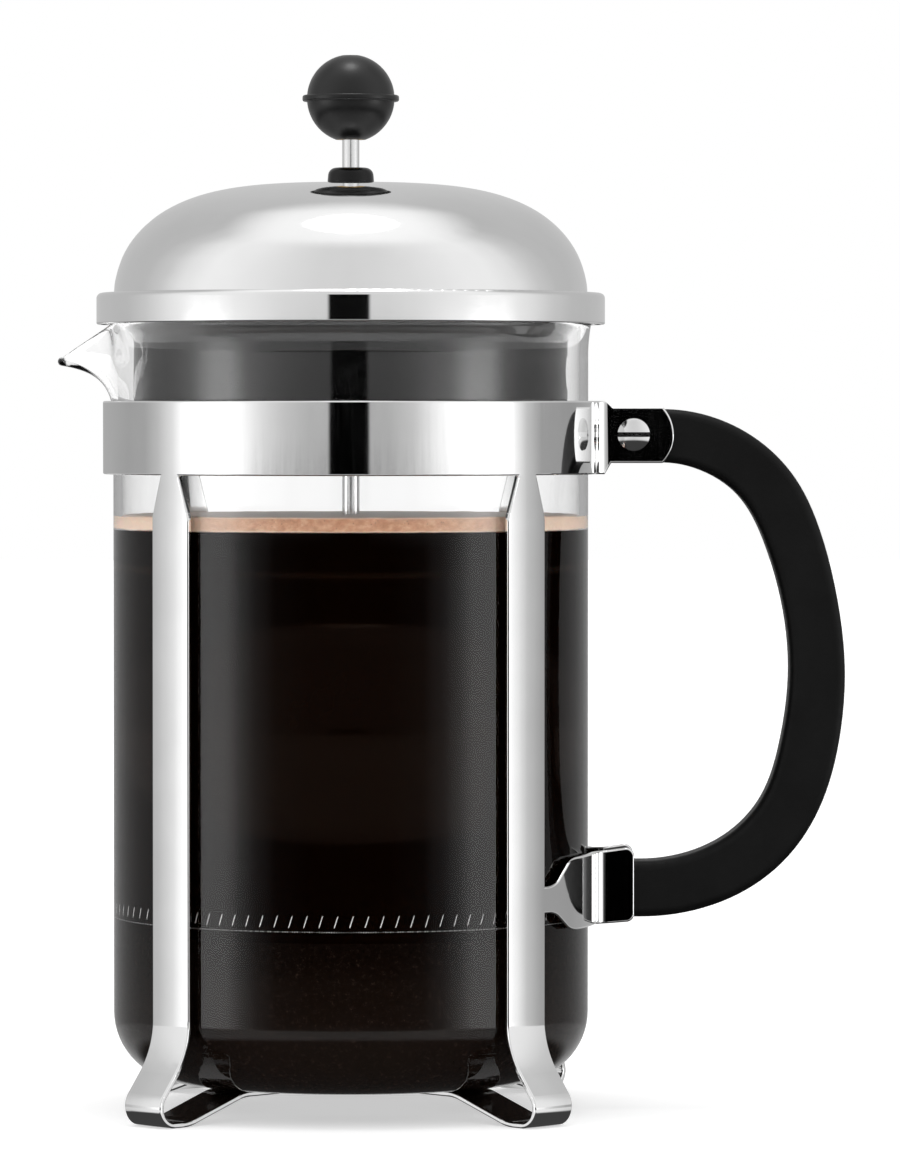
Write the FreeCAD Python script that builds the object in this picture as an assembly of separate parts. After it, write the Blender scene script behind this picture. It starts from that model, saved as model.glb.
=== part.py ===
import FreeCAD, Part
import math
import os
from FreeCAD import Vector

# A 1.5 litre coffee press: a glass beaker in a four-legged steel frame with a side handle, closed by a
# domed lid through which a rod carries the filter. Millimetres.
# Origin on the beaker's axis, on the plane that the feet stand on; +Z up, +X to the handle, -X to the spout.

# --- steel frame ---
FRAME_RADIUS = 57.7          # outside of the band, the legs and the lower brackets
SHEET = 1.3                  # thickness of the frame's steel
SHEET_ROUND = 0.4            # rounding of the steel's edges
SEAM = 0.5                   # how far beyond a rounded corner the steel pieces part
BAND_LOW, BAND_HIGH = 148.0, 165.0
LEG_WIDTH = 12.0
LEG_NECK = 5.9               # width where a leg leaves the band
NECK_LENGTH = 9.4            # over which it widens to the full width
LEG_AZIMUTHS = {"front_right": -45, "back_right": 45, "back_left": 135, "front_left": -135}
FLARE = (FRAME_RADIUS, 17.5, 19.0)   # (radius, height, bend) where a leg starts to lean outwards
TOE = (71.2, 0.0, 4.7)               # where the leaning line meets the floor
HEEL = (57.0, 0.0, 12.0)             # where the foot leaves the floor again
SEAT_START = 40.0            # inside this radius the legs lie flat under the beaker
BASE_RADIUS = 22.0           # disc that joins the four legs

# --- handle and its fixings ---
HANDLE_HALF = 6.4            # half the handle's thickness, which is also half the gap between the ears
HANDLE_EDGE = 2.0            # rounding along the handle's edges
HANDLE_ROOT = 59.6           # where both arms of the handle end, clear of the beaker
EAR_BEND = 3.0               # outside bend between the frame's circle and its ears
EAR_START = 60.5
EAR_CORNER = 72.5            # the ear's end bulges from here to the tip
EAR_TIP = 75.1
EAR_LOW, EAR_HIGH = 150.6, 163.6
LOWER_EAR_TIP = 65.9
SCREW_X, SCREW_Z = 65.7, 157.2
SCREW_RADIUS = 2.0
SCREW_HEAD_RADIUS = 3.75

# --- glass beaker ---
BEAKER_RADIUS = 55.4
GLASS = 2.0
BEAKER_BASE = 6.9            # underside, which rests on the legs
BEAKER_CORNER = 16.0
BRIM = 183.5
LIP_FLARE = 0.8
SPOUT_DIP = (-52.4, BRIM)    # where the brim starts to dip towards the spout
SPOUT_TIP = (-68.6, 173.4)   # upper edge of the pouring tip
SPOUT_ROOT = (-44.0, 177.5, 16.0)    # (x, z, radius) of the spout's cone inside the beaker
SPOUT_END = (-68.6, 174.9, 3.2)      # the same at the tip

# --- lid ---
RIM_RADIUS = 59.2
RIM_TOP = 190.1
RIM_OVERLAP = 0.7            # how far the rim comes down past the brim
RIM_ROUND, RIM_HEM = 1.3, 0.4    # outer edge radii, top and bottom
LID_SHEET = 1.0
DOME_RADIUS, DOME_BASE, DOME_HEIGHT = 55.1, 189.4, 26.3
DOME_FULLNESS = 3.45         # exponent of the dome's profile: larger is flatter on top
DOME_LAND = 6.5              # flat round the hole in the middle of the dome
DOME_HOLE = 4.2
GUARD_RADIUS = 50.5
GUARD_LOW = 164.4
GUARD_WALL = 2.0
SLOT_HEIGHT, SLOT_CENTRE = 7.7, 171.6
SLOT_WIDTH = 2.8
WIDE_SLOT = 20.0
SLOT_AZIMUTHS = (-21, -14, -7, 0, 7, 14, 21)

# --- rod guide, rod and knob ---
ROD_RADIUS = 2.0
RUNNING_GAP = 0.06
DOME_TOP = DOME_BASE + DOME_HEIGHT
GUIDE_TOP = 219.3
GUIDE_RADIUS = 5.45
GUIDE_STEM = 3.9
GUIDE_NUT = (7.5, 3.0)       # radius and height of the nut under the dome
KNOB_RADIUS = 10.2
KNOB_CENTRE = 235.4
KNOB_FLAT = 10.0            # from the knob's centre to its top and bottom flats
KNOB_RIB = (11.25, 1.5)      # radius and height of the rib round the knob
INSERT_RADIUS = 3.5
INSERT_HEIGHT = 11.8

# --- filter ---
FILTER_LOW = 42.4            # underside of the lowest plate
CROSS_PLATE = 1.2
MESH = 0.4
SPIRAL_PLATE = 1.2
FILTER_RADIUS = 52.6
COIL_RADIUS = 2.1            # of the spring that seals against the glass
COIL_WIRE = 0.5
SMALL = 0.001


def side_view(u, v):
    return Vector(u, 0, v)


def plan_view(u, v):
    return Vector(u, v, 0)


def front_view(u, v):
    return Vector(0, u, v)


def open_path(corners, place=side_view):
    """A wire through corners (u, v) or (u, v, bend radius); its two ends are never bent."""
    here = place(*corners[0][:2])
    edges = []
    for back, corner, ahead in zip(corners, corners[1:], corners[2:]):
        at = place(*corner[:2])
        if len(corner) == 2:
            edges.append(Part.makeLine(here, at))
            here = at
            continue
        radius = corner[2]
        to_back = (place(*back[:2]) - at).normalize()
        to_ahead = (place(*ahead[:2]) - at).normalize()
        half = to_back.getAngle(to_ahead) / 2
        reach = radius / math.tan(half)
        middle = at + (to_back + to_ahead).normalize() * radius * (1 / math.sin(half) - 1)
        start = at + to_back * reach
        if start.distanceToPoint(here) > SMALL:
            edges.append(Part.makeLine(here, start))
        here = at + to_ahead * reach
        edges.append(Part.Arc(start, middle, here).toShape())
    edges.append(Part.makeLine(here, place(*corners[-1][:2])))
    return Part.Wire(edges)


def face(corners, place=side_view):
    """A closed face with such corners; its outline starts halfway along its closing side."""
    middle = tuple((first + last) / 2 for first, last in zip(corners[0][:2], corners[-1][:2]))
    return Part.Face(open_path([middle, *corners, middle], place))


def turned(corners):
    """A solid turned about the Z axis from a (radius, height) outline."""
    return face(corners).revolve(Vector(0, 0, 0), Vector(0, 0, 1), 360)


def disc(radius, low, high, x=0, y=0):
    return Part.makeCylinder(radius, high - low, Vector(x, y, low))


def across(radius, x, z, y_from, y_to):
    """A round bar along Y."""
    return Part.makeCylinder(radius, y_to - y_from, Vector(x, y_from, z), Vector(0, 1, 0))


def through_y(flat_face, half):
    """A side-view face thickened by half on each side of the XZ plane."""
    slab = flat_face.copy()
    slab.translate(Vector(0, -half, 0))
    return slab.extrude(Vector(0, 2 * half, 0))


def hexagon(corner, u=0, v=0):
    """The corners of a hexagon about (u, v)."""
    angles = [math.radians(60 * k) for k in range(6)]
    return [(u + corner * math.cos(angle), v + corner * math.sin(angle)) for angle in angles]


def spun(shape, degrees):
    """A copy turned about the Z axis."""
    copy = shape.copy()
    copy.rotate(Vector(0, 0, 0), Vector(0, 0, 1), degrees)
    return copy


def mirrored(shape):
    """A copy on the other side of the XZ plane."""
    return shape.mirror(Vector(0, 0, 0), Vector(0, 1, 0))


# --- frame ---


def ear_line(tip):
    """Edges in plan of the back ear's outer face and its bend, and the point where it meets the circle."""
    y_face = HANDLE_HALF + SHEET
    reach = FRAME_RADIUS + EAR_BEND
    centre = Vector(math.sqrt(reach**2 - (y_face + EAR_BEND) ** 2), y_face + EAR_BEND, 0)
    start = Vector(centre.x, y_face, 0)
    touch = centre * (FRAME_RADIUS / reach)
    middle = centre + ((start - centre) + (touch - centre)).normalize() * EAR_BEND
    edges = [Part.makeLine(Vector(tip, y_face, 0), start), Part.Arc(start, middle, touch).toShape()]
    return edges, touch


def standing_sheet(line, low, high):
    """Steel of the frame's thickness laid inside a line in plan and stood up from low to high."""
    strips = [line.makeOffset2D(side * SHEET, 0, True, True) for side in (1, -1)]
    strip = min(strips, key=lambda shape: shape.BoundBox.YMax)
    strip.translate(Vector(0, 0, low))
    return strip.extrude(Vector(0, 0, high - low))


def screw_hole(radius):
    return across(radius, SCREW_X, SCREW_Z, -FRAME_RADIUS, FRAME_RADIUS)


def frame_band():
    back_ear, touch = ear_line(EAR_TIP + 1)
    front_ear = [mirrored(edge) for edge in back_ear]
    circle = Part.Arc(touch, Vector(-FRAME_RADIUS, 0, 0), Vector(touch.x, -touch.y, 0)).toShape()
    line = Part.Wire(Part.__sortEdges__([*back_ear, circle, *front_ear]))
    band = standing_sheet(line, BAND_LOW, BAND_HIGH)
    far, step = -FRAME_RADIUS - 5, EAR_START - 1.5
    lower = open_path([(far, BAND_LOW), (step, BAND_LOW), (EAR_START, EAR_LOW), (EAR_CORNER, EAR_LOW)])
    upper = open_path([(EAR_CORNER, EAR_HIGH), (EAR_START, EAR_HIGH), (step, BAND_HIGH), (far, BAND_HIGH)])
    low_corner, high_corner = side_view(EAR_CORNER, EAR_LOW), side_view(EAR_CORNER, EAR_HIGH)
    bulge = Part.Arc(low_corner, side_view(EAR_TIP, (EAR_LOW + EAR_HIGH) / 2), high_corner).toShape()
    back = Part.makeLine(side_view(far, BAND_HIGH), side_view(far, BAND_LOW))
    outline = Part.Face(Part.Wire([*lower.Edges, bulge, *upper.Edges, back]))
    return band.common(through_y(outline, FRAME_RADIUS + 5)).cut(screw_hole(SCREW_RADIUS + 0.2))


def leg_slab(width, azimuth):
    """The space that a leg's straight sides bound."""
    return spun(Part.makeBox(80, width, BAND_LOW + 1, Vector(0, -width / 2, -1)), azimuth)


def leg(azimuth):
    """A strip that hangs from the band, flares into a rounded foot and returns under the beaker."""
    seat = BEAKER_BASE - SHEET
    line = [(FRAME_RADIUS, BAND_LOW), FLARE, TOE, HEEL, (SEAT_START, seat, 12.0), (BASE_RADIUS, seat)]
    strip = open_path(line).makeOffset2D(-SHEET, 0, True, True)
    sweep = 35
    wide = spun(strip, -sweep).revolve(Vector(0, 0, 0), Vector(0, 0, 1), 2 * sweep)
    neck, half = LEG_NECK / 2, LEG_WIDTH / 2
    right = [(half, -1), (half, BAND_LOW - NECK_LENGTH, 6.0), (neck, BAND_LOW)]
    left = [(-u, *rest) for u, *rest in reversed(right)]
    front = face(right + left, front_view).extrude(Vector(80, 0, 0))
    return spun(wide.common(front), azimuth)


def base_plate():
    return disc(BASE_RADIUS, BEAKER_BASE - SHEET, BEAKER_BASE)


def lower_bracket():
    """From the back right leg's side round to an ear beside the handle's lower end."""
    ear, touch = ear_line(LOWER_EAR_TIP + 1)
    start = LEG_AZIMUTHS["back_right"]
    middle = (math.degrees(math.atan2(touch.y, touch.x)) + start) / 2
    on_circle = [spun(Part.Vertex(FRAME_RADIUS, 0, 0), angle).Point for angle in (middle, start)]
    circle = Part.Arc(touch, *on_circle).toShape()
    line = Part.Wire(Part.__sortEdges__([*ear, circle]))
    outline = face([
        (30.0, 48.0), (46.8, 48.0, 3.0), (50.5, 43.4, 3.0), (59.5, 43.6, 20.0), (LOWER_EAR_TIP, 44.1, 1.9),
        (LOWER_EAR_TIP, 61.5, 1.9), (59.5, 60.6, 12.0), (50.5, 60.0, 3.0), (46.8, 54.1, 3.0), (30.0, 54.1),
    ])
    sheet = standing_sheet(line, 40, 65).common(through_y(outline, FRAME_RADIUS + 5))
    return sheet.cut(leg_slab(LEG_WIDTH, start))


def rounded_frame():
    """The steel pieces joined, their edges rounded in one go, and parted again where they were joined."""
    legs = {"leg_" + name: leg(azimuth) for name, azimuth in LEG_AZIMUTHS.items()}
    bracket = lower_bracket()
    joined = frame_band().fuse([base_plate(), bracket, mirrored(bracket), *legs.values()]).removeSplitter()
    rounded = joined.makeFillet(SHEET_ROUND, [edge for edge in joined.Edges if edge.Length > SHEET + 0.05])
    reach, parting = 2 * FRAME_RADIUS, BAND_LOW - SEAM
    above = Part.makeBox(2 * reach, 2 * reach, BAND_HIGH, Vector(-reach, -reach, parting))
    hub = disc(BASE_RADIUS, -1, parting)
    slabs = {}
    for name, azimuth in LEG_AZIMUTHS.items():
        slabs["leg_" + name] = leg_slab(LEG_WIDTH + SEAM, azimuth).cut([hub, above])
    back = Part.makeBox(reach, reach, parting, Vector(0, 0, 0)).cut([hub, *slabs.values()])
    spaces = {
        "frame_band": above,
        "base_plate": hub,
        "lower_bracket_back": back,
        "lower_bracket_front": mirrored(back),
        **slabs,
    }
    return {name: rounded.common(space) for name, space in spaces.items()}


def handle():
    """A C-shaped grip whose two arms end between the ears."""
    outer = Part.BSplineCurve()
    outer.interpolate([side_view(*point) for point in (
        (72.0, 163.1), (84.1, 161.3), (95.3, 155.5), (103.7, 146.6), (109.3, 134.5), (113.4, 118.0),
        (115.0, 102.0), (114.0, 88.0), (109.6, 71.4), (103.0, 60.4), (94.0, 52.4), (82.0, 47.0), (67.4, 45.0),
    )])
    inner = Part.BSplineCurve()
    inner.interpolate([side_view(*point) for point in (
        (67.4, 58.0), (77.5, 59.3), (88.0, 64.2), (95.3, 72.0), (100.2, 86.0), (102.1, 102.3),
        (100.7, 117.0), (96.8, 131.0), (89.7, 143.6), (81.4, 148.9), (70.2, 150.6),
    )])
    top, bottom = (HANDLE_ROOT, 163.4), (HANDLE_ROOT, 45.0)
    edges = [
        Part.makeLine(side_view(*top), outer.StartPoint),
        outer.toShape(),
        Part.makeLine(outer.EndPoint, side_view(*bottom)),
        Part.makeLine(side_view(*bottom), side_view(HANDLE_ROOT, 58.0)),
        Part.makeLine(side_view(HANDLE_ROOT, 58.0), inner.StartPoint),
        inner.toShape(),
        Part.makeLine(inner.EndPoint, side_view(HANDLE_ROOT, 150.8)),
        Part.makeLine(side_view(HANDLE_ROOT, 150.8), side_view(*top)),
    ]
    body = through_y(Part.Face(Part.Wire(edges)), HANDLE_HALF)
    long_edges = [e for e in body.Edges if e.Length > 30 and e.BoundBox.YLength < SMALL]
    return body.makeFillet(HANDLE_EDGE, long_edges).cut(screw_hole(SCREW_RADIUS + 0.2))


def handle_screw():
    """A slotted screw with a low domed head on the front ear."""
    face_y = HANDLE_HALF + SHEET
    shank = across(SCREW_RADIUS, SCREW_X, SCREW_Z, -face_y, face_y + 4.5)
    head = Part.makeSphere(7.0, Vector(SCREW_X, 5.1 - face_y, SCREW_Z))
    head = head.common(across(SCREW_HEAD_RADIUS, SCREW_X, SCREW_Z, -face_y - 3, -face_y))
    slot_width, slot_floor = 1.1, face_y + 0.5
    slot = Part.makeBox(9, 3, slot_width, Vector(SCREW_X - 4.5, -slot_floor - 3, SCREW_Z - slot_width / 2))
    return shank.fuse(head).removeSplitter().cut(slot)


def handle_nut():
    """A cap nut on the back ear."""
    face_y = HANDLE_HALF + SHEET
    across_flats, height = 7.0, 3.2
    nut = face(hexagon(across_flats / math.sqrt(3), SCREW_X, SCREW_Z))
    nut.translate(Vector(0, face_y, 0))
    nut = nut.extrude(Vector(0, height, 0))
    cap = Part.makeSphere(across_flats / 2 - 0.2, Vector(SCREW_X, face_y + height, SCREW_Z))
    thread = across(SCREW_RADIUS + RUNNING_GAP, SCREW_X, SCREW_Z, face_y - 1, face_y + 4.6)
    return nut.fuse(cap).cut(thread)


# --- beaker ---


def spout_cone(shrink):
    """The spout's cone, smaller all round by the glass thickness when it is the inside."""
    x0, z0, r0 = SPOUT_ROOT
    x1, z1, r1 = SPOUT_END
    along = Vector(x1 - x0, 0, z1 - z0)
    end = r1 - shrink
    return Part.makeCone(r0 - shrink, end, along.Length, Vector(x0, 0, z0), along)


def glass_beaker():
    """Outside less inside, each a turned body with the spout's cone; the brim dips down to the tip."""
    inner, lip = BEAKER_RADIUS - GLASS, BEAKER_RADIUS + LIP_FLARE
    flare_start = BRIM - 8
    top = BRIM + 2
    outer = turned([
        (0, BEAKER_BASE), (BEAKER_RADIUS, BEAKER_BASE, BEAKER_CORNER), (BEAKER_RADIUS, flare_start, 25.0),
        (lip, BRIM, 0.9), (0, BRIM),
    ])
    hollow = turned([
        (0, BEAKER_BASE + GLASS + 0.4), (inner, BEAKER_BASE + GLASS + 0.4, BEAKER_CORNER - GLASS),
        (inner, flare_start, 25.0), (lip - GLASS, BRIM), (lip - GLASS, top), (0, top),
    ])
    dip = face([SPOUT_DIP, (-80.0, SPOUT_TIP[1] - 7.1), (-80.0, top + 5), (SPOUT_DIP[0], top + 5)])
    above = through_y(dip, 30)
    outer = outer.fuse(spout_cone(0)).common(Part.makeBox(200, 200, BRIM, Vector(-100, -100, 0)))
    return outer.cut(hollow).cut(spout_cone(1.8)).cut(above)


# --- lid ---


def dome_height(radius, outer_radius, height):
    return DOME_BASE + height * math.sqrt(1 - (radius / outer_radius) ** DOME_FULLNESS)


def dome_curve(inset):
    """The dome's profile from its flat land to its foot, moved inwards by inset."""
    foot, height = DOME_RADIUS - inset, DOME_HEIGHT - inset
    points = [side_view(DOME_LAND, DOME_BASE + height)]
    for share in (0.35, 0.55, 0.7, 0.82, 0.91, 0.965, 0.992):
        points.append(side_view(foot * share, dome_height(foot * share, foot, height)))
    points.append(side_view(foot, DOME_BASE))
    curve = Part.BSplineCurve()
    curve.interpolate(Points=points, InitialTangent=Vector(1, 0, 0), FinalTangent=Vector(0, 0, -1))
    return curve.toShape()


def dome_solid(inset, foot_corners):
    """A turned solid under the dome's curve, with the rim's corners below it."""
    curve = dome_curve(inset)
    top = DOME_BASE + DOME_HEIGHT - inset
    foot = side_view(DOME_RADIUS - inset, DOME_BASE)
    rim = open_path([(foot.x, foot.z), *foot_corners])
    low = foot_corners[-1]
    edges = [
        Part.makeLine(side_view(0, top), side_view(DOME_LAND, top)),
        curve,
        *rim.Edges,
        Part.makeLine(side_view(*low), side_view(0, low[1])),
        Part.makeLine(side_view(0, low[1]), side_view(0, top)),
    ]
    return Part.Face(Part.Wire(edges)).revolve(Vector(0, 0, 0), Vector(0, 0, 1), 360)


def lid_dome():
    """A spun steel dome with a wide rim that comes down over the beaker's brim."""
    low = BRIM - RIM_OVERLAP
    shell = dome_solid(0, [
        (DOME_RADIUS, RIM_TOP), (RIM_RADIUS, RIM_TOP, RIM_ROUND),
        (RIM_RADIUS, low, RIM_HEM), (DOME_RADIUS, low),
    ])
    inner_rim = RIM_RADIUS - LID_SHEET
    hollow = dome_solid(LID_SHEET, [
        (DOME_RADIUS - LID_SHEET, RIM_TOP - LID_SHEET), (inner_rim, RIM_TOP - LID_SHEET, RIM_HEM),
        (inner_rim, low - 1), (inner_rim - 5, low - 1),
    ])
    return shell.cut(hollow).cut(disc(DOME_HOLE, DOME_BASE, DOME_TOP + 1))


def strainer_slot(width, azimuth):
    """An upright slot with round ends through the guard's skirt, looking along +X before it is turned."""
    half_width, half_height = width / 2, SLOT_HEIGHT / 2
    end = min(half_width, half_height) - SMALL
    low, high = SLOT_CENTRE - half_height, SLOT_CENTRE + half_height
    half = face([(0, low), (half_width, low, end), (half_width, high, end), (0, high)], front_view)
    slot = half.extrude(Vector(RIM_RADIUS, 0, 0))
    return spun(slot.fuse(mirrored(slot)), azimuth)


def splash_guard():
    """A flange on the beaker's brim and a skirt inside the glass, with strainer slots towards the spout."""
    inner = GUARD_RADIUS - GUARD_WALL
    flange = RIM_RADIUS - LID_SHEET
    flare = 53.0
    guard = turned([
        (inner, GUARD_LOW), (GUARD_RADIUS, GUARD_LOW, 0.9), (GUARD_RADIUS, BRIM - 4, 3.0),
        (flare, BRIM - 1, 1.5), (flare, BRIM), (flange, BRIM), (flange, BRIM + 3), (inner, BRIM + 3, 0.8),
    ])
    slots = [strainer_slot(SLOT_WIDTH, 180 + azimuth) for azimuth in SLOT_AZIMUTHS]
    return guard.cut(slots + [strainer_slot(WIDE_SLOT, 0)])


def rod_guide():
    """A button on the dome whose stem passes through the dome's hole and guides the rod."""
    nut_low = DOME_TOP - LID_SHEET - GUIDE_NUT[1]
    bore = ROD_RADIUS + RUNNING_GAP
    return turned([
        (bore, nut_low - 1), (GUIDE_STEM, nut_low - 1), (GUIDE_STEM, DOME_TOP), (GUIDE_RADIUS, DOME_TOP, 0.5),
        (GUIDE_RADIUS - 0.3, GUIDE_TOP, 1.9), (bore, GUIDE_TOP),
    ])


def guide_nut():
    """The thin round nut that holds the guide under the dome."""
    radius, height = GUIDE_NUT
    top = DOME_TOP - LID_SHEET - 0.1
    return disc(radius, top - height, top).cut(disc(GUIDE_STEM + RUNNING_GAP, 0, 300))


# --- plunger ---


def rod_hole():
    return disc(ROD_RADIUS, 0, 300)


def plunger_rod():
    """A plain rod from the nut under the filter to the top of the knob's insert."""
    low, high, chamfer = FILTER_LOW - 2.4, KNOB_CENTRE - KNOB_FLAT + INSERT_HEIGHT, 0.4
    return turned([
        (0, low), (ROD_RADIUS - chamfer, low), (ROD_RADIUS, low + chamfer), (ROD_RADIUS, high - chamfer),
        (ROD_RADIUS - chamfer, high), (0, high),
    ])


def knob():
    """A ball with flats at both poles, a thin rib round its middle and a blind socket for the insert."""
    low, high = KNOB_CENTRE - KNOB_FLAT, KNOB_CENTRE + KNOB_FLAT
    ball = Part.makeSphere(KNOB_RADIUS, Vector(0, 0, KNOB_CENTRE)).common(disc(KNOB_RADIUS + 1, low, high))
    radius, height = KNOB_RIB
    rib = disc(radius, KNOB_CENTRE - height / 2, KNOB_CENTRE + height / 2)
    rib = rib.makeFillet(0.5, [e for e in rib.Edges if e.Length > 60 and e.BoundBox.ZLength < SMALL])
    socket = disc(INSERT_RADIUS, low - 1, low + INSERT_HEIGHT + 0.5)
    return ball.fuse(rib).cut(socket)


def knob_insert():
    """The threaded sleeve moulded into the knob."""
    low = KNOB_CENTRE - KNOB_FLAT + 0.5
    return disc(INSERT_RADIUS, low, low + INSERT_HEIGHT).cut(rod_hole())


def spiral_plate():
    """The upper plate: three rings of round holes and an upturned edge under the coil."""
    low = FILTER_LOW + CROSS_PLATE + MESH
    plate = disc(FILTER_RADIUS - 2, low, low + SPIRAL_PLATE)
    for radius, count in ((16.0, 8), (28.0, 16), (40.0, 24)):
        plate = plate.cut([spun(disc(2.2, 0, 100, radius), 360 / count * k) for k in range(count)])
    return plate.cut(rod_hole())


def edge_coil():
    """The closed ring that the fine spring round the filter fills; it presses on the glass."""
    low = FILTER_LOW + CROSS_PLATE + MESH + SPIRAL_PLATE
    centre = Vector(0, 0, low + COIL_RADIUS)
    major = BEAKER_RADIUS - GLASS - 0.3 - COIL_RADIUS
    outer = Part.makeTorus(major, COIL_RADIUS, centre)
    return outer.cut(Part.makeTorus(major, COIL_RADIUS - COIL_WIRE, centre))


def mesh_screen():
    """Fine steel mesh between the plates, with its edge turned up beside the upper plate."""
    low = FILTER_LOW + CROSS_PLATE
    inner = FILTER_RADIUS - MESH
    return turned([
        (ROD_RADIUS, low), (FILTER_RADIUS, low, 0.5), (FILTER_RADIUS, low + MESH + SPIRAL_PLATE),
        (inner, low + MESH + SPIRAL_PLATE), (inner, low + MESH), (ROD_RADIUS, low + MESH),
    ])


def cross_plate():
    """The lower plate: a rim, a hub and eight spokes, with the threaded boss that takes the rod's end."""
    high = FILTER_LOW + CROSS_PLATE
    plate = disc(FILTER_RADIUS - 2.5, FILTER_LOW, high)
    window = [(17.0, -4.2, 3.0), (44.5, -14.0, 5.0), (44.5, 14.0, 5.0), (17.0, 4.2, 3.0)]
    opening = face(window, plan_view).extrude(Vector(0, 0, 100))
    return plate.cut([spun(opening, 45 * k) for k in range(8)]).cut(rod_hole())


def rod_collar():
    """The hexagonal collar on the rod that clamps the plates together from above."""
    low = FILTER_LOW + CROSS_PLATE + MESH + SPIRAL_PLATE
    corner, height = 5.2, 5.0
    collar = face(hexagon(corner), plan_view)
    collar.translate(Vector(0, 0, low))
    return collar.extrude(Vector(0, 0, height)).cut(rod_hole())


def rod_nut():
    """The nut on the rod's threaded end, under the plates."""
    corner, height = 4.6, 3.0
    nut = face(hexagon(corner), plan_view)
    nut.translate(Vector(0, 0, FILTER_LOW - height))
    return nut.extrude(Vector(0, 0, height)).cut(disc(ROD_RADIUS, FILTER_LOW - height + 0.6, 100))


pieces = {
    **rounded_frame(),
    "handle": handle(),
    "handle_screw": handle_screw(),
    "handle_nut": handle_nut(),
    "glass_beaker": glass_beaker(),
    "lid_dome": lid_dome(),
    "splash_guard": splash_guard(),
    "rod_guide": rod_guide(),
    "guide_nut": guide_nut(),
    "plunger_rod": plunger_rod(),
    "knob": knob(),
    "knob_insert": knob_insert(),
    "rod_collar": rod_collar(),
    "spiral_plate": spiral_plate(),
    "edge_coil": edge_coil(),
    "mesh_screen": mesh_screen(),
    "cross_plate": cross_plate(),
    "rod_nut": rod_nut(),
}

os.makedirs("parts", exist_ok=True)
for name, shape in pieces.items():
    shape.exportStep("parts/" + name + ".step")
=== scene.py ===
import math

import bpy
import numpy as np
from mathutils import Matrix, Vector, noise


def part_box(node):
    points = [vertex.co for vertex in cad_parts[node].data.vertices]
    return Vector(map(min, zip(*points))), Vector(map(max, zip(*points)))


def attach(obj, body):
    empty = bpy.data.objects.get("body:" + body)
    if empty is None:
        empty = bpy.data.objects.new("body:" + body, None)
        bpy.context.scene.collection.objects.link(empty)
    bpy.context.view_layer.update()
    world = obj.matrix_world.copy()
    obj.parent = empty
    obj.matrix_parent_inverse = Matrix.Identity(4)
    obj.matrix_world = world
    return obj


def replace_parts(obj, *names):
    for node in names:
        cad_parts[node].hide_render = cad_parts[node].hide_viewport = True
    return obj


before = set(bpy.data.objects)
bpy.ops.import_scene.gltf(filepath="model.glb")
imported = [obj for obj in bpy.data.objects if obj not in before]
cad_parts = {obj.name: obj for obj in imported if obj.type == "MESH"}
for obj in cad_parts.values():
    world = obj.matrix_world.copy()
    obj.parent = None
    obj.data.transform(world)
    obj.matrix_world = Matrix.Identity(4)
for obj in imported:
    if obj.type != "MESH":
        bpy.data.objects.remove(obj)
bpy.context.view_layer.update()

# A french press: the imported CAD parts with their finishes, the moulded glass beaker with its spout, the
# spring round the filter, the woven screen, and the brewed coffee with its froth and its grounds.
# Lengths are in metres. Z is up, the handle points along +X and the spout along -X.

MM = 0.001
UPRIGHT_WIPES = (1, 1, 0.05)
# The length of one wave of a wave texture at scale 1, in the texture's own units.
WAVE_LENGTH = 0.314
# The steepness of a layer weight that reads how far a surface is turned away.
EVEN_FACING = 0.5

# The beaker, from the CAD solid's own box.
GLASS_LOW, GLASS_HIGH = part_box("glass_beaker")
LIP_FLARE = 0.8 * MM
BRIM = GLASS_HIGH.z
WALL_RADIUS = GLASS_HIGH.y - LIP_FLARE
GLASS = 2.0 * MM
BASE_CORNER = 16 * MM
BASE_RISE = 0.5 * MM
INNER_RADIUS = WALL_RADIUS - GLASS
INNER_FLOOR = GLASS_LOW.z + GLASS

# What is in the beaker.
COFFEE_TOP = 135.1 * MM
FROTH_TOP = 138.7 * MM
GROUNDS_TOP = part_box("cross_plate")[0].z

# How far the contents, the spring and the screen's bead reach into the glass, so that they show through it.
FILM = 0.03 * MM
SPRING_PRESS = 0.13 * MM
BEAD_PRESS = 0.07 * MM

# Patterns that repeat: the lid's lathe rings, the insert's thread, the screen's wires, the froth's bubbles.
RING_PITCH = 0.8 * MM
THREAD_PITCH = 0.7 * MM
MESH_PITCH = 0.55 * MM
BUBBLE = 1.1 * MM

# The filter's edge.
COIL_LOW, COIL_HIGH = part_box("edge_coil")
SCREEN_LOW, SCREEN_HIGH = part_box("mesh_screen")
PLATE_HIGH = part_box("spiral_plate")[1]


def linear(shade):
    """The linear light of a display value from 0 to 255."""
    part = shade / 255
    return part / 12.92 if part <= 0.04045 else ((part + 0.055) / 1.055) ** 2.4


def colour(red, green, blue):
    return (linear(red), linear(green), linear(blue), 1.0)


def grey(shade):
    return colour(shade, shade, shade)


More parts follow.
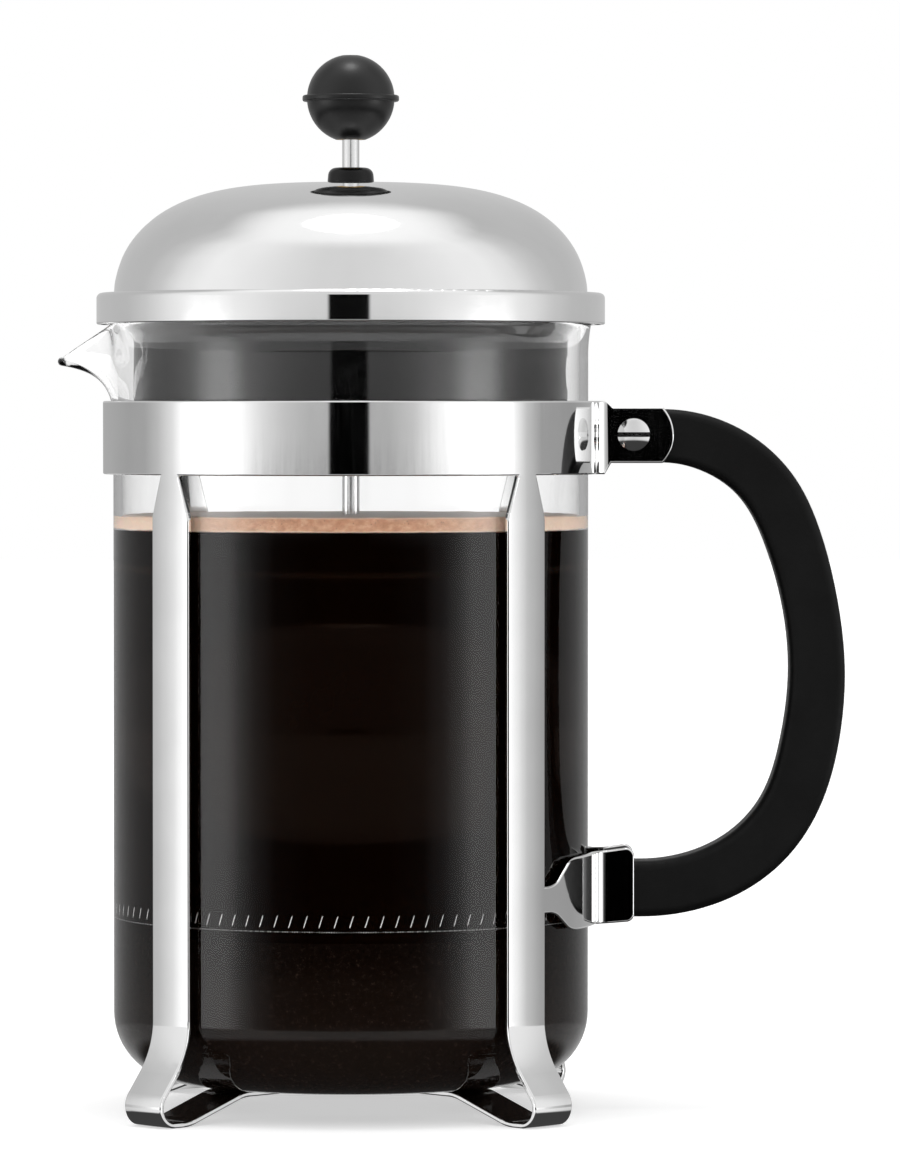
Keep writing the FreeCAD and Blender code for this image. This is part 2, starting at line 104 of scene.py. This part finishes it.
class Finish:
    """A node material: its Principled shader, with short ways to add patterns and join them up."""

    def __init__(self, name, **numbers):
        self.material = bpy.data.materials.new(name)
        self.material.use_nodes = True
        self.tree = self.material.node_tree
        self.surface = self.tree.nodes["Principled BSDF"]
        for socket, value in numbers.items():
            self.surface.inputs[socket.replace("_", " ")].default_value = value

    def node(self, kind, **settings):
        made = self.tree.nodes.new("ShaderNode" + kind)
        for key, value in settings.items():
            setattr(made, key, value)
        return made

    def join(self, source, target):
        self.tree.links.new(source, target)

    def place(self, stretch=(1, 1, 1)):
        """The piece's own coordinates in metres, stretched along each axis."""
        mapping = self.node("Mapping")
        mapping.inputs["Scale"].default_value = stretch
        self.join(self.node("TexCoord").outputs["Object"], mapping.inputs["Vector"])
        return mapping.outputs["Vector"]

    def grain(self, size, detail=4.0, stretch=(1, 1, 1), rough=0.5):
        """Noise whose features are about one size across, in metres."""
        made = self.node("TexNoise")
        made.inputs["Scale"].default_value = 1 / size
        made.inputs["Detail"].default_value = detail
        made.inputs["Roughness"].default_value = rough
        self.join(self.place(stretch), made.inputs["Vector"])
        return made.outputs["Fac"]

    def spread(self, source, low, high, start=0.3, stop=0.7):
        """Stretches a pattern's usual range to run from low to high."""
        made = self.node("MapRange")
        made.inputs["From Min"].default_value = start
        made.inputs["From Max"].default_value = stop
        made.inputs["To Min"].default_value = low
        made.inputs["To Max"].default_value = high
        self.join(source, made.inputs["Value"])
        return made.outputs["Result"]

    def ramp(self, source, *stops):
        """Colours along a pattern, each stop a place from 0 to 1 with its colour."""
        made = self.node("ValToRGB")
        set_stops(made.color_ramp, stops)
        self.join(source, made.inputs["Fac"])
        return made.outputs["Color"]

    def drive(self, socket, source):
        self.join(source, self.surface.inputs[socket])

    def bump(self, source, depth):
        """Raises the surface by up to depth, in metres, where the pattern is high."""
        made = self.node("Bump")
        made.inputs["Distance"].default_value = depth
        made.inputs["Strength"].default_value = 1.0
        self.join(source, made.inputs["Height"])
        self.join(made.outputs["Normal"], self.surface.inputs["Normal"])


def set_stops(color_ramp, stops):
    """Fills a colour ramp from (place, colour) pairs, in order."""
    elements = color_ramp.elements
    while len(elements) < len(stops):
        elements.new(0.5)
    for element, (place, shade) in zip(elements, stops):
        element.position = place
        element.color = shade


# ---------------------------------------------------------------- finishes


def polished_steel(name, dark, light, dull, sharp, stretch=(1, 1, 1)):
    """Bright steel: faint clouds in its tint, and wipe marks in its gloss that run where stretch is small."""
    made = Finish(name, Metallic=1.0)
    clouds = made.grain(14 * MM, 3)
    made.drive("Base Color", made.ramp(clouds, (0.3, grey(dark)), (0.7, grey(light))))
    marks = made.grain(0.9 * MM, 6, stretch, 0.7)
    made.drive("Roughness", made.spread(marks, sharp, dull))
    made.bump(made.grain(3 * MM, 2), 0.0015 * MM)
    return made.material


def spun_steel(name):
    """The lid's steel, spun on a lathe: faint rings round its axis under the polish."""
    made = Finish(name, Metallic=1.0)
    clouds = made.grain(20 * MM, 3)
    made.drive("Base Color", made.ramp(clouds, (0.3, grey(238)), (0.7, grey(243))))
    rings = made.node("TexWave", wave_type="RINGS", rings_direction="Z")
    rings.inputs["Scale"].default_value = WAVE_LENGTH / RING_PITCH
    rings.inputs["Distortion"].default_value = 3.0
    rings.inputs["Detail"].default_value = 3.0
    rings.inputs["Detail Scale"].default_value = 0.02
    made.join(made.place(), rings.inputs["Vector"])
    made.drive("Roughness", made.spread(rings.outputs["Fac"], 0.035, 0.07, 0, 1))
    made.bump(made.grain(4 * MM, 2), 0.0015 * MM)
    return made.material


def moulded_plastic(name, shade, dull, sharp, grain_size, depth, level):
    """Black moulded plastic: a fine grain, and slightly uneven gloss."""
    made = Finish(name, Specular_IOR_Level=level)
    clouds = made.grain(9 * MM, 4)
    made.drive("Base Color", made.ramp(clouds, (0.3, grey(shade * 0.75)), (0.7, grey(shade * 1.25))))
    made.drive("Roughness", made.spread(made.grain(2 * MM, 5), sharp, dull))
    made.bump(made.grain(grain_size, 3), depth)
    return made.material


def brass():
    """The knob's threaded insert."""
    made = Finish("insert_brass", Metallic=1.0)
    clouds = made.grain(2 * MM, 4)
    made.drive("Base Color", made.ramp(clouds, (0.3, colour(190, 150, 80)), (0.7, colour(220, 182, 108))))
    made.drive("Roughness", made.spread(made.grain(0.5 * MM, 4), 0.2, 0.4))
    threads = made.node("TexWave", wave_type="BANDS", bands_direction="Z")
    threads.inputs["Scale"].default_value = WAVE_LENGTH / THREAD_PITCH
    made.join(made.place(), threads.inputs["Vector"])
    made.bump(threads.outputs["Fac"], 0.15 * MM)
    return made.material


def woven_mesh():
    """Fine woven steel wire: two crossed sets of threads, with painted shade that darkens the colour where
    the weave dips between the wires.
    """
    made = Finish("mesh_steel", Metallic=1.0)
    threads = []
    for direction in "XY":
        wave = made.node("TexWave", wave_type="BANDS", bands_direction=direction)
        wave.inputs["Scale"].default_value = WAVE_LENGTH / MESH_PITCH
        made.join(made.place(), wave.inputs["Vector"])
        threads.append(wave.outputs["Fac"])
    crossed = made.node("Math", operation="MULTIPLY")
    made.join(threads[0], crossed.inputs[0])
    made.join(threads[1], crossed.inputs[1])
    weave = crossed.outputs["Value"]
    # Painted shade: the colour goes dark grey where the weave dips, between the wires.
    made.drive("Base Color", made.ramp(weave, (0.0, grey(70)), (0.35, grey(165)), (1.0, grey(215))))
    made.drive("Roughness", made.spread(weave, 0.45, 0.22, 0, 1))
    made.bump(weave, 0.12 * MM)
    return made.material


def clear_glass():
    """Borosilicate glass: clear face on, greyer where it is seen edge on, with faint waves in it."""
    made = Finish("beaker_glass", Roughness=0.0, IOR=1.33, Transmission_Weight=1.0)
    edge = made.node("LayerWeight")
    edge.inputs["Blend"].default_value = EVEN_FACING
    tint = made.ramp(edge.outputs["Facing"], (0.0, grey(254)), (0.8, grey(252)), (1.0, grey(232)))
    made.drive("Base Color", tint)
    made.bump(made.grain(25 * MM, 1), 0.01 * MM)
    light_path = made.node("LightPath")
    passing = made.node("Math", operation="MAXIMUM")
    made.join(light_path.outputs["Is Shadow Ray"], passing.inputs[0])
    made.join(light_path.outputs["Is Diffuse Ray"], passing.inputs[1])
    through = made.node("BsdfTransparent")
    through.inputs["Color"].default_value = grey(247)
    either = made.node("MixShader")
    made.join(passing.outputs["Value"], either.inputs["Fac"])
    made.join(made.surface.outputs["BSDF"], either.inputs[1])
    made.join(through.outputs["BSDF"], either.inputs[2])
    made.join(either.outputs["Shader"], made.tree.nodes["Material Output"].inputs["Surface"])
    return made.material


def coffee():
    """Strong black coffee against the glass."""
    made = Finish("coffee", Specular_IOR_Level=0.05, Specular_Tint=colour(255, 214, 190))
    clouds = made.grain(30 * MM, 3)
    made.drive("Base Color", made.ramp(clouds, (0.3, colour(5, 1, 0)), (0.7, colour(9, 3, 1))))
    made.drive("Roughness", made.spread(made.grain(8 * MM, 3), 0.06, 0.12))
    return made.material


def froth():
    """Tan froth: fine bubbles, some of them open and dark, and a painted sheen that turns its colour pale
    where it is seen at a slant.
    """
    made = Finish("coffee_froth", Subsurface_Weight=0.25, Subsurface_Scale=1.5 * MM, Coat_Weight=0.5,
                  Coat_Roughness=0.15)
    clouds = made.grain(2.2 * MM, 6, (1, 1, 1.6), 0.65)
    tans = (0.25, colour(165, 110, 76)), (0.5, colour(196, 144, 110)), (0.75, colour(220, 178, 146))
    tan = made.ramp(clouds, *tans)
    bubbles = made.node("TexVoronoi")
    bubbles.inputs["Scale"].default_value = 1 / BUBBLE
    made.join(made.place(), bubbles.inputs["Vector"])
    specks = made.ramp(bubbles.outputs["Distance"], (0.06, grey(120)), (0.16, grey(255)))
    mixed = made.node("Mix", data_type="RGBA", blend_type="MULTIPLY")
    mixed.inputs["Factor"].default_value = 0.6
    made.join(tan, mixed.inputs["A"])
    made.join(specks, mixed.inputs["B"])
    # Painted sheen: the base colour is mixed towards pale cream where the surface is seen at a slant.
    painted_sheen_facing = made.node("LayerWeight")
    painted_sheen_facing.inputs["Blend"].default_value = EVEN_FACING
    pale = made.node("Mix", data_type="RGBA")
    pale.inputs["B"].default_value = colour(250, 222, 200)
    made.join(made.spread(painted_sheen_facing.outputs["Facing"], 0, 0.85, 0.02, 0.2), pale.inputs["Factor"])
    made.join(mixed.outputs["Result"], pale.inputs["A"])
    made.drive("Base Color", pale.outputs["Result"])
    made.drive("Roughness", made.spread(clouds, 0.5, 0.75))
    made.bump(bubbles.outputs["Distance"], 0.15 * MM)
    return made.material


def wet_grounds():
    """Soaked coffee grounds pressed under the filter, with paler flecks."""
    made = Finish("coffee_grounds", Specular_IOR_Level=0.05, Specular_Tint=colour(255, 220, 200))
    flecks = made.grain(1.1 * MM, 6, rough=0.8)
    body = made.ramp(flecks, (0.35, colour(7, 3, 1)), (0.6, colour(15, 8, 5)), (0.74, colour(60, 46, 38)))
    made.drive("Base Color", body)
    made.drive("Roughness", made.spread(flecks, 0.12, 0.35))
    made.bump(flecks, 0.08 * MM)
    return made.material


def finishes():
    """One material for each of the record's slots."""
    return {
        "frame_steel": polished_steel("frame_steel", 239, 244, 0.07, 0.03, UPRIGHT_WIPES),
        "lid_steel": spun_steel("lid_steel"),
        "handle_plastic": moulded_plastic("handle_plastic", 11, 0.55, 0.42, 0.5 * MM, 0.02 * MM, 0.18),
        "fastener_steel": polished_steel("fastener_steel", 232, 240, 0.12, 0.05),
        "beaker_glass": clear_glass(),
        "guard_plastic": moulded_plastic("guard_plastic", 8, 0.1, 0.05, 1.5 * MM, 0.003 * MM, 0.6),
        "guide_plastic": moulded_plastic("guide_plastic", 4, 0.25, 0.15, 0.8 * MM, 0.004 * MM, 0.3),
        "knob_plastic": moulded_plastic("knob_plastic", 4, 0.36, 0.28, 0.45 * MM, 0.008 * MM, 0.5),
        "insert_brass": brass(),
        "rod_steel": polished_steel("rod_steel", 232, 240, 0.12, 0.05, UPRIGHT_WIPES),
        "filter_steel": polished_steel("filter_steel", 200, 222, 0.3, 0.15),
        "mesh_steel": woven_mesh(),
    }


# ---------------------------------------------------------------- shapes


def mesh_piece(name, points, faces, material, body):
    """A smooth piece from points and faces, riding on a CAD body."""
    data = bpy.data.meshes.new(name)
    data.from_pydata([tuple(p) for p in points], [], faces)
    data.polygons.foreach_set("use_smooth", [True] * len(data.polygons))
    data.materials.append(material)
    made = bpy.data.objects.new(name, data)
    bpy.context.scene.collection.objects.link(made)
    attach(made, body)
    return made


def grid_faces(rows, columns, closed_rows=False):
    """The four-sided faces of a grid that closes round its columns, and round its rows if asked."""
    faces = []
    for row in range(rows if closed_rows else rows - 1):
        above = (row + 1) % rows
        for column in range(columns):
            beside = (column + 1) % columns
            faces.append((row * columns + column, row * columns + beside,
                          above * columns + beside, above * columns + column))
    return faces


def turned_piece(name, outline, material, body, columns=160, ripple=None):
    """Spins an outline of (radius, height) points round Z. Its ends are on the axis, or it closes on itself.
    ripple, if given, moves each point up by an amount worked out from where the point is."""
    ring = np.linspace(0, 2 * math.pi, columns, endpoint=False)
    closed = outline[0][0] > 0
    body_rows = outline if closed else outline[1:-1]
    points = [(r * math.cos(a), r * math.sin(a), z) for r, z in body_rows for a in ring]
    if ripple is not None:
        points = [(x, y, z + ripple(x, y, z)) for x, y, z in points]
    faces = grid_faces(len(body_rows), columns, closed)
    if not closed:
        for row, (_, z) in ((0, outline[0]), (len(body_rows) - 1, outline[-1])):
            points.append((0, 0, z))
            for column in range(columns):
                edge = (row * columns + column, row * columns + (column + 1) % columns)
                faces.append((*(edge if row else edge[::-1]), len(points) - 1))
    return mesh_piece(name, points, faces, material, body)


def arc(centre, radius, start, stop, steps):
    """Points (radius, height) along an arc, its angles in degrees."""
    turns = np.radians(np.linspace(start, stop, steps))
    return [(centre[0] + radius * math.cos(t), centre[1] + radius * math.sin(t)) for t in turns]


def beaker(material):
    """The blown beaker: a round-cornered base, a straight wall, a faintly flared brim, and a pulled spout."""
    spout_start = 160 * MM
    wall_pull = (WALL_RADIUS, 169.5 * MM)
    tip_pull = (60 * MM, 172 * MM)
    tip = (-GLASS_LOW.x - GLASS / 2, 173.2 * MM)
    spout_line = ((WALL_RADIUS, spout_start), wall_pull, tip_pull, tip)
    flare_start = BRIM - 8 * MM
    # Half widths of the spout at its tip and at its root, and half the finely divided part, in degrees.
    spout_width = 6.7
    root_width = 13.0
    fine_half = 30

    base = [(r, GLASS_LOW.z + BASE_RISE * (1 - r / (WALL_RADIUS - BASE_CORNER)) ** 2)
            for r in np.linspace(0.02 * WALL_RADIUS, WALL_RADIUS - BASE_CORNER, 8)]
    corner = arc((WALL_RADIUS - BASE_CORNER, GLASS_LOW.z + BASE_CORNER), BASE_CORNER, -85, 0, 16)
    wall = [(WALL_RADIUS, z) for z in np.linspace(GLASS_LOW.z + BASE_CORNER, spout_start, 12)[1:]]
    lower = base + corner + wall

    fine = np.linspace(180 - fine_half, 180 + fine_half, 61)
    coarse = np.linspace(fine_half - 180, 180 - fine_half, 101)[1:-1]
    azimuths = np.concatenate([coarse, fine])
    turns = np.radians(azimuths)
    from_spout = np.abs(azimuths % 360 - 180)

    outer = [[(r, z)] * len(turns) for r, z in lower]
    for part in np.linspace(0, 1, 30)[1:]:
        z = spout_start + part * (BRIM - GLASS / 2 - spout_start)
        flare = LIP_FLARE * max(0, (z - flare_start) / (BRIM - flare_start)) ** 2
        weights = ((1 - part) ** 3, 3 * part * (1 - part) ** 2, 3 * part ** 2 * (1 - part), part ** 3)
        spout_r = sum(w * p[0] for w, p in zip(weights, spout_line))
        spout_z = sum(w * p[1] for w, p in zip(weights, spout_line))
        width = spout_width + (root_width - spout_width) * (1 - part)
        share = np.exp(-(from_spout / width) ** 2)
        outer.append([(WALL_RADIUS + flare + s * (spout_r - WALL_RADIUS - flare), z + s * (spout_z - z))
                      for s in share])

    skin = np.array(outer)
    around = np.stack([np.cos(turns), np.sin(turns)], 1)
    shell = np.stack([skin[:, :, 0] * around[:, 0], skin[:, :, 0] * around[:, 1], skin[:, :, 1]], 2)
    along = np.gradient(shell, axis=0)
    across = np.roll(shell, -1, 1) - np.roll(shell, 1, 1)
    outward = np.cross(across, along)
    outward /= np.linalg.norm(outward, axis=2, keepdims=True)
    inner = shell - outward * GLASS
    inner[:, :, 2] = np.maximum(inner[:, :, 2], INNER_FLOOR)

    upward = along[-1] / np.linalg.norm(along[-1], axis=1, keepdims=True)
    middle = (shell[-1] + inner[-1]) / 2
    lip = [middle + GLASS / 2 * (math.cos(t) * outward[-1] + math.sin(t) * upward)
           for t in np.linspace(0, math.pi, 9)[1:-1]]
    rows = [*shell, *lip, *inner[::-1]]
    points = np.concatenate(rows)
    columns = len(turns)
    faces = grid_faces(len(rows), columns)
    centres = [(0, 0, GLASS_LOW.z + BASE_RISE), (0, 0, INNER_FLOOR)]
    points = np.concatenate([points, centres])
    last = (len(rows) - 1) * columns
    for column in range(columns):
        beside = (column + 1) % columns
        faces.append((beside, column, len(points) - 2))
        faces.append((last + column, last + beside, len(points) - 1))
    made = mesh_piece("beaker", points, faces, material, "beaker")
    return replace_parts(made, "glass_beaker")


def cup_outline(radius, low, corner, high):
    """The outline of a full cup: a flat base, a round corner and a straight wall."""
    return [(0, low), (radius - corner, low), *arc((radius - corner, low + corner), corner, -80, 0, 12),
            (radius, (low + high) / 2), (radius, high)]


def brew(materials):
    """The coffee, the froth on it and the grounds under the filter."""
    inside_corner = BASE_CORNER - GLASS
    radius = INNER_RADIUS + FILM
    liquid = [(0, GROUNDS_TOP), (radius, GROUNDS_TOP), (radius, (GROUNDS_TOP + COFFEE_TOP) / 2),
              (radius, COFFEE_TOP), (0, COFFEE_TOP)]
    turned_piece("coffee", liquid, materials["coffee"], "beaker")

    rounding = 0.5 * MM
    flat_radius = radius - rounding
    top = [(r, FROTH_TOP) for r in np.linspace(flat_radius, 0, 40)]
    foam = [(0, COFFEE_TOP), (flat_radius, COFFEE_TOP),
            *arc((flat_radius, COFFEE_TOP + rounding), rounding, -90, 0, 4),
            *arc((flat_radius, FROTH_TOP - rounding), rounding, 0, 90, 4), *top[1:]]
    side_height, side_size = 0.08 * MM, 3 * MM
    top_height, top_size = 0.12 * MM, 5 * MM
    sink = 0.6

    def bubbling(x, y, z):
        if z < FROTH_TOP - rounding / 2:
            return side_height * noise.noise(Vector((x, y, z)) / side_size)
        return top_height * (noise.noise(Vector((x, y, 0)) / top_size) - sink)

    turned_piece("coffee_froth", foam, materials["froth"], "beaker", columns=320, ripple=bubbling)

    floor = INNER_FLOOR - FILM
    bed = cup_outline(radius, floor, inside_corner, GROUNDS_TOP)
    bed += [(radius * part, GROUNDS_TOP) for part in (0.9, 0.6, 0.3)] + [(0, GROUNDS_TOP)]
    turned_piece("coffee_grounds", bed, materials["grounds"], "beaker")


def filter_spring(material):
    """The coiled wire round the filter, each turn pressed flat where it meets the glass."""
    turns = 97
    steps = 24
    wire = 0.24 * MM
    half_height = (COIL_HIGH.z - COIL_LOW.z) / 2 - wire
    half_width = 2.0 * MM
    reach = INNER_RADIUS + SPRING_PRESS
    centre_radius = reach - wire - half_width
    centre_height = (COIL_HIGH.z + COIL_LOW.z) / 2
    flatness = 0.12
    curve = bpy.data.curves.new("filter_spring", "CURVE")
    curve.dimensions = "3D"
    curve.bevel_depth = wire
    curve.bevel_resolution = 1
    curve.resolution_u = 1
    path = curve.splines.new("POLY")
    path.points.add(turns * steps - 1)
    for index, point in enumerate(path.points):
        around = 2 * math.pi * index / (turns * steps)
        section = 2 * math.pi * index / steps
        side, rise = math.cos(section), math.sin(section)
        r = centre_radius + half_width * math.copysign(abs(side) ** flatness, side)
        z = centre_height + half_height * rise
        point.co = (r * math.cos(around), r * math.sin(around), z, 1)
    path.use_cyclic_u = True
    curve.materials.append(material)
    made = bpy.data.objects.new("filter_spring", curve)
    bpy.context.scene.collection.objects.link(made)
    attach(made, "plunger")
    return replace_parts(made, "edge_coil")


def screen(material):
    """The woven screen under the spiral plate, its edge turned up round the plate in a fine bead."""
    hole = 2.05 * MM
    play = 0.12 * MM
    rim = PLATE_HIGH.y + play
    fold = 0.4 * MM
    neck = 0.1 * MM
    bead = 0.22 * MM
    bead_centre = (INNER_RADIUS + BEAD_PRESS - bead, PLATE_HIGH.z - bead)
    outline = [(hole, SCREEN_LOW.z), (rim - fold, SCREEN_LOW.z),
               *arc((rim - fold, SCREEN_LOW.z + fold), fold, -60, 0, 4),
               *arc(bead_centre, bead, -60, 200, 10),
               (rim - neck, SCREEN_HIGH.z), (hole, SCREEN_HIGH.z)]
    made = turned_piece("filter_screen", outline, material, "plunger")
    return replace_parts(made, "mesh_screen")


# ---------------------------------------------------------------- studio


def mirrored(side):
    """Stops of light for one side of the camera's direction, repeated on the other side."""
    return [(-place, light) for place, light in reversed(side) if place > 0] + side


def studio():
    """Soft light from all round: bright panels at both sides, a dimmer hall in front and behind, a pale
    ceiling with a lamp overhead, a dark ground, and a narrow dark opening in front. The light by azimuth is
    given at eye level (level), just below it (low), and elsewhere (above). What is seen past the object is
    white."""
    left = [(-180, 0.42), (-150, 0.42), (-125, 0.37), (-110, 0.39), (-100, 0.54), (-90, 0.82), (-82, 1.3),
            (-74, 3.0), (-62, 3.0)]
    right = [(62, 3.0), (74, 3.0), (82, 1.1), (90, 0.6), (100, 0.36), (125, 0.33), (150, 0.42), (180, 0.42)]
    level = [*left, (-52, 1.2), (-40, 0.8), (-30, 0.6), (-18, 0.48), (0, 0.46), (18, 0.46), (30, 0.62),
             (40, 0.98), (52, 1.4), *right]
    low = [*left, *mirrored([(20, 0.0), (36, 0.06), (46, 0.4), (54, 1.3)]), *right]
    above = mirrored([(0, 0.72), (15, 0.74), (30, 0.8), (45, 0.88), (60, 0.95), (75, 0.97), (90, 0.85),
                      (105, 0.64), (120, 0.54), (135, 0.53), (150, 0.54), (165, 0.56), (180, 0.6)])
    opening = mirrored([(8.6, 0.0), (8.9, 1.7), (9.3, 1.7), (9.6, 1.0), (180, 1.0)])
    ceiling = 1.06
    lamp = 6.0
    ground = 0.05
    # Where one light gives way to the next, as the height of its direction up or down, from 0 to 1.
    level_top = (0.006, 0.014)
    low_top = (0.012, 0.02)
    low_bottom = (0.13, 0.17)
    opening_edge = (0.034, 0.05)
    ceiling_edge = (0.78, 0.97)
    lamp_edge = (0.97, 0.995)
    ground_edge = (0.3, 0.42)

    world = bpy.data.worlds.new("studio")
    world.use_nodes = True
    bpy.context.scene.world = world
    nodes, links = world.node_tree.nodes, world.node_tree.links

    def math_node(operation, *values):
        made = nodes.new("ShaderNodeMath")
        made.operation = operation
        for socket, value in zip(made.inputs, values):
            if isinstance(value, (int, float)):
                socket.default_value = value
            else:
                links.new(value, socket)
        return made.outputs["Value"]

    def fade(source, start, stop):
        """Runs smoothly from 0 at start to 1 at stop."""
        made = nodes.new("ShaderNodeMapRange")
        made.interpolation_type = "SMOOTHSTEP"
        made.inputs["From Min"].default_value = start
        made.inputs["From Max"].default_value = stop
        links.new(source, made.inputs["Value"])
        return made.outputs["Result"]

    def blend(part, first, second):
        """The first value where part is 0, the second where it is 1."""
        made = nodes.new("ShaderNodeMix")
        for name, value in (("Factor", part), ("A", first), ("B", second)):
            if isinstance(value, (int, float)):
                made.inputs[name].default_value = value
            else:
                links.new(value, made.inputs[name])
        return made.outputs["Result"]

    def round_ramp(stops, peak):
        """Light by azimuth, which is 0 towards the camera and grows towards +X. No light passes peak."""
        made = nodes.new("ShaderNodeValToRGB")
        shades = [((place + 180) / 360, (light / peak,) * 3 + (1.0,)) for place, light in stops]
        set_stops(made.color_ramp, shades)
        links.new(azimuth, made.inputs["Fac"])
        return math_node("MULTIPLY", made.outputs["Color"], peak)

    direction = nodes.new("ShaderNodeSeparateXYZ")
    links.new(nodes.new("ShaderNodeTexCoord").outputs["Generated"], direction.inputs["Vector"])
    x, y, z = direction.outputs
    angle = math_node("ARCTAN2", x, math_node("MULTIPLY", y, -1.0))
    azimuth = math_node("ADD", math_node("DIVIDE", angle, 2 * math.pi), 0.5)

    level_light = round_ramp(level, peak=3.0)
    low_light = round_ramp(low, peak=3.0)
    above_light = round_ramp(above, peak=1.5)
    gap = round_ramp(opening, peak=2.0)
    down = math_node("MULTIPLY", z, -1.0)
    tilt = math_node("ABSOLUTE", z)
    light = blend(fade(z, *level_top), level_light, above_light)
    light = blend(fade(down, *low_top), light, low_light)
    light = blend(fade(down, *low_bottom), light, above_light)
    light = math_node("MULTIPLY", light, blend(fade(tilt, *opening_edge), gap, 1.0))
    light = blend(fade(z, *ceiling_edge), light, ceiling)
    light = blend(fade(z, *lamp_edge), light, lamp)
    light = blend(fade(down, *ground_edge), light, ground)

    path = nodes.new("ShaderNodeLightPath")
    bounced = math_node("ADD", path.outputs["Glossy Depth"], path.outputs["Diffuse Depth"])
    straight = math_node("LESS_THAN", bounced, 0.5)
    through_glass = math_node("MULTIPLY", path.outputs["Is Transmission Ray"], straight)
    seen = math_node("MAXIMUM", path.outputs["Is Camera Ray"], through_glass)
    light = blend(seen, light, 1.0)
    links.new(light, nodes["Background"].inputs["Color"])


def floor():
    """A plain pale floor that the object stands on."""
    made = Finish("floor", Roughness=0.9, Specular_IOR_Level=0.1)
    paper = made.grain(40 * MM, 3)
    made.drive("Base Color", made.ramp(paper, (0.3, grey(229)), (0.7, grey(232))))
    made.surface.inputs["Emission Color"].default_value = grey(255)
    made.surface.inputs["Emission Strength"].default_value = 0.5
    half = 6.0
    data = bpy.data.meshes.new("floor")
    corners = [(-half, -half, 0), (half, -half, 0), (half, half, 0), (-half, half, 0)]
    data.from_pydata(corners, [], [(0, 1, 2, 3)])
    data.materials.append(made.material)
    ground = bpy.data.objects.new("floor", data)
    bpy.context.scene.collection.objects.link(ground)
    ground.visible_glossy = False


def camera():
    """A long lens level with the band, tipped down a little."""
    across = 0.0231
    place = Vector((across, -1.6, 0.162))
    target = Vector((across, 0.0, 0.1214))
    data = bpy.data.cameras.new("camera")
    data.lens = 210.1
    data.sensor_width = 36.0
    data.clip_start = 0.05
    data.clip_end = 50.0
    made = bpy.data.objects.new("camera", data)
    made.location = place
    made.rotation_euler = (target - place).to_track_quat("-Z", "Y").to_euler()
    bpy.context.scene.collection.objects.link(made)
    bpy.context.scene.camera = made


def dress(materials):
    """Gives every CAD node the finish of its slot."""
    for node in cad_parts.values():
        for slot in node.material_slots:
            slot.material = materials[slot.material.name.split(".")[0]]


slots = finishes()
dress(slots)
beaker(slots["beaker_glass"])
brew({"coffee": coffee(), "froth": froth(), "grounds": wet_grounds()})
filter_spring(slots["filter_steel"])
screen(slots["mesh_steel"])
studio()
floor()
camera()
bpy.context.scene.view_settings.view_transform = "Standard"
